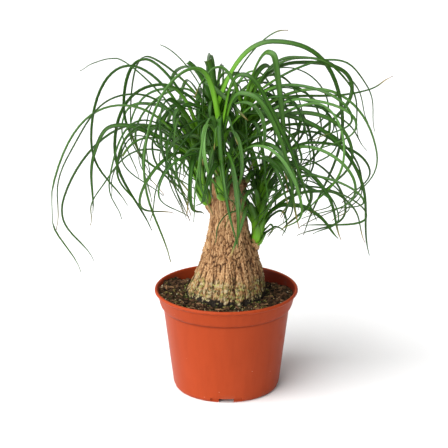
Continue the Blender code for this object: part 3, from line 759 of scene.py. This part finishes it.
leaders = {
    "shoot_left": [
        (0.8, 180, (78, 379), (122, 298), (83, 218), 5.2),
        (0.95, 174, (62, 385), (87, 338), (70, 273), 5.8),
        (0.7, 178, (92, 389), (115, 385), (132, 376), 3.2),
        (0.4, 186, (90, 336), (168, 240), (138, 142), 4.6),
        (0.6, 190, (76, 350), (148, 283), (164, 198), 3.8),
        (0.3, 177, (68, 313), (157, 225), (125, 148), 4.4),
        (0.2, 184, (62, 284), (118, 237), (129, 196), 3.6),
        (0.9, 173, (47, 360), (102, 296), (60, 189), 6.2),
        (0.85, 232, (55, 352), (66, 300), (20, 205), 5.6),
        (0.6, 242, (46, 330), (56, 280), (22, 212), 5.0),
        (1.0, -35, (5, 362), (36, 345), (62, 327), 6.8),
    ],
    "shoot_front": [
        (1.0, 200, (30, 379), (84, 292), (58, 162), 7.0),
        (0.6, 215, (17, 327), (74, 280), (94, 226), 5.6),
        (0.6, -98, (26, 333), (50, 262), (44, 197), 7.0, 24),
        (0.35, -63, (20, 281), (43, 240), (50, 192), 5.8, -6),
        (0.95, -20, (26, 377), (72, 314), (112, 220), 5.6),
        (0.8, -22, (25, 357), (67, 315), (93, 210), 6.0),
        (0.6, -98, (64, 344), (132, 300), (152, 256), 4.6),
    ],
    "shoot_top": [
        (0.9, -40, (36, 397), (52, 352), (64, 243), 7.0),
        (0.95, 5, (94, 382), (137, 354), (149, 298), 3.0),
        (0.85, 8, (62, 384), (120, 360), (144, 306), 3.4),
        (0.7, -8, (58, 389), (117, 364), (132, 298), 3.6),
        (0.8, 20, (60, 337), (140, 335), (186, 351), 3.6),
        (0.65, 2, (83, 350), (153, 278), (112, 205), 4.0),
        (0.5, -6, (60, 334), (112, 321), (143, 284), 3.4),
        (0.55, -12, (36, 325), (125, 279), (150, 167), 5.6),
        (0.35, 6, (66, 309), (141, 240), (69, 186), 3.6),
    ],
    "shoot_back": [
        (0.9, -3, (66, 404), (141, 331), (101, 180), 6.4),
        (0.9, 188, (44, 383), (80, 350), (110, 290), 8.0, 0, 0.34),
        (1.0, 215, (16, 384), (55, 350), (75, 290), 8.6, 0, 0.3),
        (0.8, 178, (68, 399), (110, 380), (120, 370), 2.0, 0, 0.62),
        (0.8, 4, (75, 414), (120, 400), (150, 370), 2.0, 0, 0.62),
        (0.55, 96, (66, 372), (138, 300), (158, 216), 5.0),
    ],
    "shoot_right": [
        (0.95, -25, (26, 273), (76, 250), (100, 191), 5.2),
        (0.3, 5, (60, 234), (104, 220), (124, 172), 4.0),
        (0.15, -20, (36, 222), (68, 216), (96, 189), 6.2),
        (0.2, -12, (26, 213), (33, 199), (28, 183), 3.4),
        (0.15, -100, (34, 228), (51, 199), (63, 174), 7.2, -21),
        (0.25, -134, (33, 218), (57, 211), (63, 186), 4.6, -7),
        (0.72, 216, (14, 252), (28, 254), (40, 251), 5.6),
        (0.1, -20, (13, 197), (19, 193), (13, 181), 3.0),
        (0.08, 12, (18, 191), (27, 189), (34, 183), 3.0),
    ],
}

crownPlan = {
    "stemSides": 8,  # of the stand-in that keeps room for a stem
    "stemRings": 4,
    "stemRadius": 4.4,
    "stemTipRadius": 3,
    "rings": 7,
    "thick": 1,
    "rootOut": 2.2,
    "lean": 0.3,
    "sheath": 24,
    "gap": 0.35,
    "goldenAngle": 137.5,
    "tries": 60,
    "crowding": 1.35,
    "lowest": 172,
    "reach": 174,
}


def stemPoint(shoot, share):
    foot, tip = Vector(shoot.foot) * mm, Vector(shoot.tip) * mm
    knee = foot + Vector(shoot.out).normalized() * 0.3 * (tip - foot).length
    return foot * (1 - share) ** 2 + knee * 2 * share * (1 - share) + tip * share**2


def stemFrame(shoot, share):  # a point of the stem's middle line, the way ahead, and the radius there
    point = stemPoint(shoot, share)
    ahead = (stemPoint(shoot, share + 0.01) - point).normalized()
    thick, thin = crownPlan["stemRadius"], crownPlan["stemTipRadius"]
    return point, ahead, thick + (thin - thick) * share


def glide(start, end, leave, arrive, count):  # points of a cubic, given the ways that it leaves and arrives
    points = []
    for i in range(count):
        t = (i + 1) / count
        near = start * (2 * t**3 - 3 * t**2 + 1) + leave * (t**3 - 2 * t**2 + t)
        points.append(near + end * (3 * t**2 - 2 * t**3) + arrive * (t**3 - t**2))
    return points


def bladeLine(shoot, leaf, rings, steps=12):  # middle line of a blade, and how far along it each point is
    root = stemPoint(shoot, leaf.share)
    start = np.array((crownPlan["rootOut"] * mm, root.z))
    crest, way, tip = (np.array(point) * mm for point in (leaf.crest, leaf.way, leaf.tip))
    rise = np.array((crownPlan["lean"] * crest[0], crest[1] - start[1])) * 1.6
    top = np.array((1.4 * min(crest[0], way[0] - crest[0]) + 0.2 * abs(crest[1] - way[1]), 0.0))
    fall = (tip - crest) * 0.8
    last = (tip - way) * 1.1 + (tip - crest) * np.array((0.1, 0.0))
    arch = glide(start, crest, rise, top, steps) + glide(crest, way, top, fall, steps)
    flat = np.array([start] + arch + glide(way, tip, fall, last, steps))
    paces = np.diff(flat, axis=0)
    run = np.concatenate(([0.0], np.cumsum(np.linalg.norm(paces, axis=1))))
    slope = np.unwrap(np.arctan2(paces[:, 1], paces[:, 0]))
    turned = np.concatenate(([0.0], np.cumsum(np.abs(np.diff(slope))), [0.0]))
    turned[-1] = turned[-2]
    pace = 0.5 * run / run[-1] + 0.5 * turned / turned[-1]
    firstPace = np.interp(crownPlan["sheath"] * mm, run, pace)
    lastPace = np.interp(run[-1] * leaf.kept, run, pace)
    along = np.concatenate(([0.0], np.interp(np.linspace(firstPace, lastPace, rings), pace, run)))
    out = np.interp(along, run, flat[:, 0])
    height = np.interp(along, run, flat[:, 1])
    side = leaf.sway * mm * (along / run[-1]) ** 2
    a = math.radians(leaf.azimuth)
    x = root.x + out * math.cos(a) - side * math.sin(a)
    y = root.y + out * math.sin(a) + side * math.cos(a)
    return [Vector(point) for point in zip(x, y, height)], along / run[-1]


def randomLeaf(shoot, number, rng):  # smaller towards the other shoots and towards the front
    share = 0.12 + 0.88 * (number + 0.5) / shoot.leaves
    turn = (crownPlan["goldenAngle"] * number / 180 + rng.uniform(-0.07, 0.07)) % 2 - 1
    azimuth = shoot.facing + 180 * math.copysign(abs(turn) ** crownPlan["crowding"], turn)
    inward = 0.5 - 0.5 * math.cos(math.radians(azimuth - shoot.facing))
    forward = max(0, -heading(azimuth).y)
    size = rng.uniform(0.75, 1.2) * (1 - 0.35 * inward) * (1 - 0.25 * forward)
    root = stemPoint(shoot, share) / mm
    crestOut = (36 + 48 * rng.random()) * size
    crestZ = root.z + (38 + 42 * rng.random()) * size * (1.3 - 0.6 * share)
    wayOut = crestOut + (26 + 46 * rng.random()) * size
    wayZ = crestZ - (26 + 42 * rng.random()) * size
    tipOut = crestOut + rng.uniform(-18, 40) * size
    lowest = crownPlan["lowest"] + 45 * forward + 34 * rng.random()
    tipZ = max(wayZ - (30 + 52 * rng.random()) * size, lowest)
    far = (root + heading(azimuth) * max(wayOut, tipOut)).xy.length
    pull = min(1, crownPlan["reach"] / far)
    crest, way, tip = (crestOut * pull, crestZ), (wayOut * pull, max(wayZ, tipZ + 20)), (tipOut * pull, tipZ)
    width, sway = rng.uniform(3.6, 6.0), rng.uniform(-22, 22)
    kept = 1 if rng.random() < 0.94 else rng.uniform(0.4, 0.7)
    roll, twist = rng.uniform(-55, 55), rng.uniform(-40, 40)
    return Leaf(share, azimuth, crest, way, tip, width, sway, kept, roll, twist)


def nudged(leaf, rng, effort):  # turned and shifted a little, more so after each failure to find room
    turn = rng.uniform(-1, 1) * effort * 0.35
    lift = rng.uniform(-1, 1) * effort * 0.25
    spread = 1 + rng.uniform(-1, 1) * effort * 0.003
    sway = leaf.sway + rng.uniform(-1, 1) * effort * 0.4
    crest, way, tip = ((out * spread, up + lift) for out, up in (leaf.crest, leaf.way, leaf.tip))
    return leaf._replace(azimuth=leaf.azimuth + turn, crest=crest, way=way, tip=tip, sway=sway)


def bladeFrame(line, shares, leaf, i):  # the ways across the blade and up from it
    ahead = (line[min(i + 1, len(line) - 1)] - line[max(i - 1, 0)]).normalized()
    across = heading(leaf.azimuth + 90)
    flat = (across - ahead * across.dot(ahead)).normalized()
    flat = Matrix.Rotation(math.radians(leaf.roll + leaf.twist * shares[i]), 3, ahead) @ flat
    return flat, ahead.cross(flat)


def plainBlade(shoot, leaf, swell):  # three-sided stand-in for a blade, with room kept round it
    rings = crownPlan["rings"]
    line, shares = bladeLine(shoot, leaf, rings)
    line[-1] += (line[-1] - line[-2]).normalized() * swell * mm
    corners = []
    for i, point in enumerate(line):
        flat, upper = bladeFrame(line, shares, leaf, i)
        u = shares[i]
        half = (0.5 * leaf.width * (1 - 0.72 * u**2.2) * (1 if i else 0.5) + 2 * swell) * mm
        thick = crownPlan["thick"] * (1 - 0.25 * u)
        above = upper * (0.4 * thick + swell) * mm
        below = upper * (0.6 * thick + 2 * swell) * mm
        corners += [point - flat * half + above, point + flat * half + above, point - below]
    faces = []
    for i in range(rings):
        for side in range(3):
            a, b = 3 * i + side, 3 * i + (side + 1) % 3
            faces += [(a, b + 3, b), (a, a + 3, b + 3)]
    end = 3 * rings
    return corners, faces + [(0, 1, 2), (end + 2, end + 1, end)]


def treeOf(meshes):
    corners, faces = [], []
    for meshCorners, meshFaces in meshes:
        base = len(corners)
        corners += meshCorners
        faces += [tuple(base + i for i in face) for face in meshFaces]
    return BVHTree.FromPolygons(corners, faces)


def openPart(mesh):  # past the sheath, where a blade no longer lies against its neighbours
    return mesh[0], mesh[1][6:-2]


def plainStem(shoot):
    rings, sides = crownPlan["stemRings"], crownPlan["stemSides"]
    corners = []
    for i in range(rings + 1):
        point, ahead, radius = stemFrame(shoot, i / rings)
        if i == 0:
            ahead = Vector(shoot.out).normalized()
        side = ahead.cross(Vector((0, 1, 0))).normalized()
        for k in range(sides):
            a = math.tau * k / sides
            corners.append(point + (side * math.cos(a) + side.cross(ahead) * math.sin(a)) * radius * mm)
    faces = [tuple(reversed(range(sides)))]
    for i in range(0, rings * sides, sides):
        for k in range(sides):
            a, b = i + k, i + (k + 1) % sides
            faces.append((a, b, b + sides, a + sides))
    faces.append(tuple(rings * sides + k for k in range(sides)))
    return corners, faces


def nodeMesh(name):
    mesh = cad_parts[name].data
    return [vert.co.copy() for vert in mesh.vertices], [tuple(face.vertices) for face in mesh.polygons]


def growCrown(solidTree):  # chooses the leaves of all shoots by the same rule as the solids
    grown = {name: [] for name in shoots}
    meshes = {name: [plainStem(shoot)] for name, shoot in shoots.items()}
    loose = {name: [] for name in shoots}
    trees = {name: treeOf(meshes[name]) for name in shoots}
    own = {}
    wanted = [(name, Leaf(*row)) for name in shoots for row in leaders[name]]
    rngs = {name: random.Random(shoot.seed) for name, shoot in shoots.items()}
    for number in range(max(shoot.leaves for shoot in shoots.values())):
        for name, shoot in shoots.items():
            if number < shoot.leaves:
                wanted.append((name, randomLeaf(shoot, number, rngs[name])))
    for name, first in wanted:
        shoot = shoots[name]
        for effort in range(crownPlan["tries"]):
            leaf = nudged(first, rngs[name], effort)
            swollen = plainBlade(shoot, leaf, crownPlan["gap"])
            tree = treeOf([swollen])
            if tree.overlap(solidTree):
                continue
            if any(tree.overlap(trees[other]) for other in shoots if other != name):
                continue
            early = effort < crownPlan["tries"] // 2 and name in own
            if early and treeOf([openPart(swollen)]).overlap(own[name]):
                continue
            mesh = plainBlade(shoot, leaf, 0)
            grown[name].append(leaf)
            meshes[name].append(mesh)
            loose[name].append(openPart(mesh))
            trees[name] = treeOf(meshes[name])
            own[name] = treeOf(loose[name])
            break
    return grown


crownSolids = treeOf([nodeMesh("pot"), nodeMesh("potting_mix"), nodeMesh("trunk")])
grownLeaves = growCrown(crownSolids)
print("leaves:", {name: len(leaves) for name, leaves in grownLeaves.items()})

leafPlan = {
    "rings": 34,
    "lineSteps": 36,
    "across": 4,  # strips across a blade
    "thick": 0.8,
    "fineThick": 0.5,
    "full": 1.16,  # a channelled blade is cut wider than it looks
    "channel": 0.36,  # how far the edges stand up, as a share of half the width
    "clasp": 0.65,  # the same at the foot, on top of it
    "stemRings": 24,
    "stemSides": 16,
    "sheaths": 11,  # round the foot of each shoot
    "husks": 3,  # dry ones under them
    "young": 9,  # short leaves in the heart of each shoot
    "threads": 1,  # hair-thin leaves of each shoot
    "short": Leaf(0.04, 205, (6, 208), (11, 222), (13, 229), 8),  # between the right shoot and the trunk
    # paler green at the leaf foot and on the sheaths: partly their own colour, partly painted glow of light
    # shining through
    "bright": (0.15, 0.38, 0.015),
    "deep": (0.012, 0.048, 0.0015),
    "blueGreen": (0.017, 0.068, 0.005),
    "fresh": (0.05, 0.15, 0.004),
    "rib": (0.08, 0.21, 0.03),
    # painted shade along the edges of blades and sheaths, where overlapping leaves shade each other
    "edgeShade": (0.3, 0.42, 0.26),
    "bloom": (0.15, 0.3, 0.1),  # pale painted sheen on the lit faces of some leaves
    "straw": (0.34, 0.23, 0.08),
    "brown": (0.15, 0.065, 0.02),
}


def makeLeafGreen(plan):
    material, shader, whole = startMaterial("palmLeaf", 0.36, 0.27)
    data = addNode(whole.id_data, "Attribute", {}, attribute_name="leafData")
    tone, along, across = split(data["Color"])
    dry = data["Alpha"]
    cloud = blotches(whole, 45, 0.5, 0.25)
    flecks = specks(whole, 700, 0.03, 0.3)["Mask"]
    colour = mixColour(fade(tone, 0.1, 0.6), plan["blueGreen"], plan["deep"])
    colour = paint(colour, plan, fresh=fade(tone, 0.6, 1.0))
    veins = fade(calculate("SINE", times(across, 60)), -1, 1)
    # bright near the foot: paler young tissue, and painted glow of light shining through
    colour = paint(colour, plan, fresh=times(cloud, 0.35), bright=fade(along, 0.3, 0.03))
    colour = paint(colour, plan, rib=times(veins, 0.15))
    middle = calculate("ABSOLUTE", calculate("SUBTRACT", across, 0.5))
    colour = paint(colour, plan, rib=times(fade(middle, 0.14, 0.02), 0.3))
    # painted shade along the edges of blades and sheaths
    colour = mixColour(fade(middle, 0.3, 0.5, 0, 0.6), colour, plan["edgeShade"], "MULTIPLY")
    # painted sheen: a pale highlight near the crest of some leaves
    bloom = times(fade(along, 0.2, 0.35), fade(along, 0.85, 0.6), fade(tone, 0.62, 0.95, 0, 0.35))
    end = times(fade(along, 0.86, 0.98), dry)
    colour = paint(colour, plan, bloom=bloom, straw=end, brown=times(fade(along, 0.95, 1.0), dry))
    colour = paint(colour, plan, straw=times(flecks, 0.4))
    rough = plus(times(end, 0.3), times(cloud, 0.12), 0.33)
    dress(shader, colour, plus(times(veins, 0.6), grain(whole, 800)), 0.12, 0.6, rough)
    return material


leafGreen = makeLeafGreen(leafPlan)


def startLeaves():
    bm = bmesh.new()
    bm.verts.layers.float_color.new("leafData")  # tone, share of the length, place across, dryness
    return bm


def finishLeaves(name, bm, thick, nodes=()):
    piece = newPiece(name, bm)
    if thick:
        wall = piece.modifiers.new("thickness", "SOLIDIFY")
        wall.thickness = thick * mm
        wall.offset = -1
        applyModifiers(piece)
    finishPiece(piece, leafGreen, nodes)


def addBlade(bm, shoot, leaf, tone, dry, footWidth=1.0):
    rings = leafPlan["rings"]
    layer = bm.verts.layers.float_color["leafData"]
    line, shares = bladeLine(shoot, leaf, rings, leafPlan["lineSteps"])
    grid = bmesh.ops.create_grid(bm, x_segments=leafPlan["across"], y_segments=rings, size=1)
    frames = [bladeFrame(line, shares, leaf, i) for i in range(rings + 1)]
    for vert in grid["verts"]:
        across = vert.co.x
        i = round((vert.co.y + 1) / 2 * rings)
        u = shares[i]
        flat, upper = frames[i]
        taper = 1 - 0.72 * u**2.2
        if leaf.kept == 1 or leaf.width < 3:
            taper *= 1 - 0.5 * ease((u / leaf.kept - 0.92) / 0.08)
        foot = footWidth * (1 - ease(u / 0.12)) + ease(u / 0.12)
        half = 0.5 * leaf.width * leafPlan["full"] * taper * foot
        fold = leafPlan["channel"] + leafPlan["clasp"] * (1 - ease(u / 0.2))
        lift = half * fold * across**2 - 0.25
        spot = line[i] + (flat * across * half * (1 - 0.12 * fold * abs(across)) + upper * lift) * mm
        vert.co = [min(high - mm, max(low + mm, c)) for c, low, high in zip(spot, *cadBox)]
        vert[layer] = (tone, u / max(leaf.kept, 0.01), across / 2 + 0.5, dry)


def addStem(bm, shoot):  # fine stem, ringed with leaf scars
    rings = leafPlan["stemRings"]
    layer = bm.verts.layers.float_color["leafData"]
    loop = bmesh.ops.create_circle(bm, cap_ends=True, segments=leafPlan["stemSides"], radius=1)["verts"]
    faces = list(loop[0].link_faces)
    angles = [math.atan2(vert.co.y, vert.co.x) for vert in loop]
    for i in range(rings + 1):
        point, ahead, radius = stemFrame(shoot, i / rings)
        side = ahead.cross(Vector((0, 1, 0))).normalized()
        other = side.cross(ahead)
        radius += 0.25 * (i % 2) - 0.15
        if i:
            out = bmesh.ops.extrude_face_region(bm, geom=faces)
            if i > 1:
                bmesh.ops.delete(bm, geom=faces, context="FACES_KEEP_BOUNDARY")
            faces = [item for item in out["geom"] if isinstance(item, bmesh.types.BMFace)]
            loop = list(faces[0].verts)
        for vert, a in zip(loop, angles):
            vert.co = point + (side * math.cos(a) + other * math.sin(a)) * radius * mm
            vert[layer] = (0.3, 0.25, 0.5, 0)
    bmesh.ops.recalc_face_normals(bm, faces=bm.faces)


def addSheath(bm, shoot, low, high, azimuth, clear, spread, flare, dry):  # clasps the stem
    layer = bm.verts.layers.float_color["leafData"]
    grid = bmesh.ops.create_grid(bm, x_segments=6, y_segments=9, size=1)
    for vert in grid["verts"]:
        across, u = vert.co.x, (vert.co.y + 1) / 2
        point, ahead, radius = stemFrame(shoot, low + (high - low) * u)
        way = heading(azimuth + across * spread * (1 - 0.55 * u - 0.35 * u**4))
        way = (way - ahead * way.dot(ahead)).normalized()
        radius += clear * ease(0.1 + 2.4 * u) + flare * u**2 - 0.9 * (1 - ease(2.4 * u))
        vert.co = point + way * radius * mm
        along = 0.97 if dry else 0.04 + 0.3 * abs(u - 0.3)
        vert[layer] = (0.7, along, across / 2 + 0.5, dry)


def addSheaths(bm, shoot, rng):
    count = leafPlan["sheaths"]
    for number in range(count):
        k = number + rng.uniform(-0.2, 0.2)
        low = 0.34 * k / count - 0.13
        high = 0.3 + 0.5 * k / count + rng.uniform(-0.06, 0.06)
        clear = 0.6 + 2.2 * (1 - k / count)
        azimuth = shoot.facing + crownPlan["goldenAngle"] * k
        addSheath(bm, shoot, low, high, azimuth, clear, 66, rng.uniform(1, 4), 0)
    for k in range(leafPlan["husks"]):
        azimuth = shoot.facing + 120 * k + rng.uniform(-40, 40)
        addSheath(bm, shoot, -0.03, rng.uniform(0.05, 0.1), azimuth, 1.6, 36, 1.2, 1)


def addFineLeaves(bm, name, rng):
    shoot = shoots[name]
    for number in range(leafPlan["young"]):
        share = rng.uniform(0.45, 1)
        base = stemPoint(shoot, share).z / mm
        out, up = rng.uniform(12, 34), rng.uniform(24, 50)
        crest = (out, base + up)
        way = (1.5 * out + 4, base + up - rng.uniform(5, 16))
        tip = (1.7 * out + rng.uniform(4, 18), base + up - rng.uniform(18, 42))
        azimuth, width, sway = rng.uniform(0, 360), rng.uniform(3, 5), rng.uniform(-8, 8)
        leaf = Leaf(share, azimuth, crest, way, tip, width, sway, 1, 40, 20)
        addBlade(bm, shoot, leaf, rng.random(), rng.random() ** 4)
    if name == "shoot_right":
        addBlade(bm, shoot, leafPlan["short"], 0.3, 0)
    for number in range(leafPlan["threads"]):
        leaf = randomLeaf(shoot, rng.randrange(shoot.leaves), rng)
        tip = (leaf.tip[0] * rng.uniform(0.6, 1), max(128, leaf.tip[1] - rng.uniform(0, 45)))
        leaf = leaf._replace(width=rng.uniform(1.5, 2.2), tip=tip, kept=1)
        if not treeOf([plainBlade(shoot, leaf, 0.5)]).overlap(crownSolids):
            addBlade(bm, shoot, leaf, rng.random(), 0.1)


def makeShoot(name):
    shoot = shoots[name]
    rng = random.Random(shoot.seed + 500)
    bm = startLeaves()
    for leaf in grownLeaves[name]:
        addBlade(bm, shoot, leaf, rng.random(), rng.random() ** 4, 1.2)
    finishLeaves(name + "_leaves", bm, leafPlan["thick"], [name])
    bm = startLeaves()
    addSheaths(bm, shoot, rng)
    finishLeaves(name + "_sheaths", bm, leafPlan["thick"])
    bm = startLeaves()
    addFineLeaves(bm, name, rng)
    finishLeaves(name + "_fine_leaves", bm, leafPlan["fineThick"])
    bm = startLeaves()
    addStem(bm, shoot)
    finishLeaves(name + "_stem", bm, 0)


for shootName in shoots:
    makeShoot(shootName)
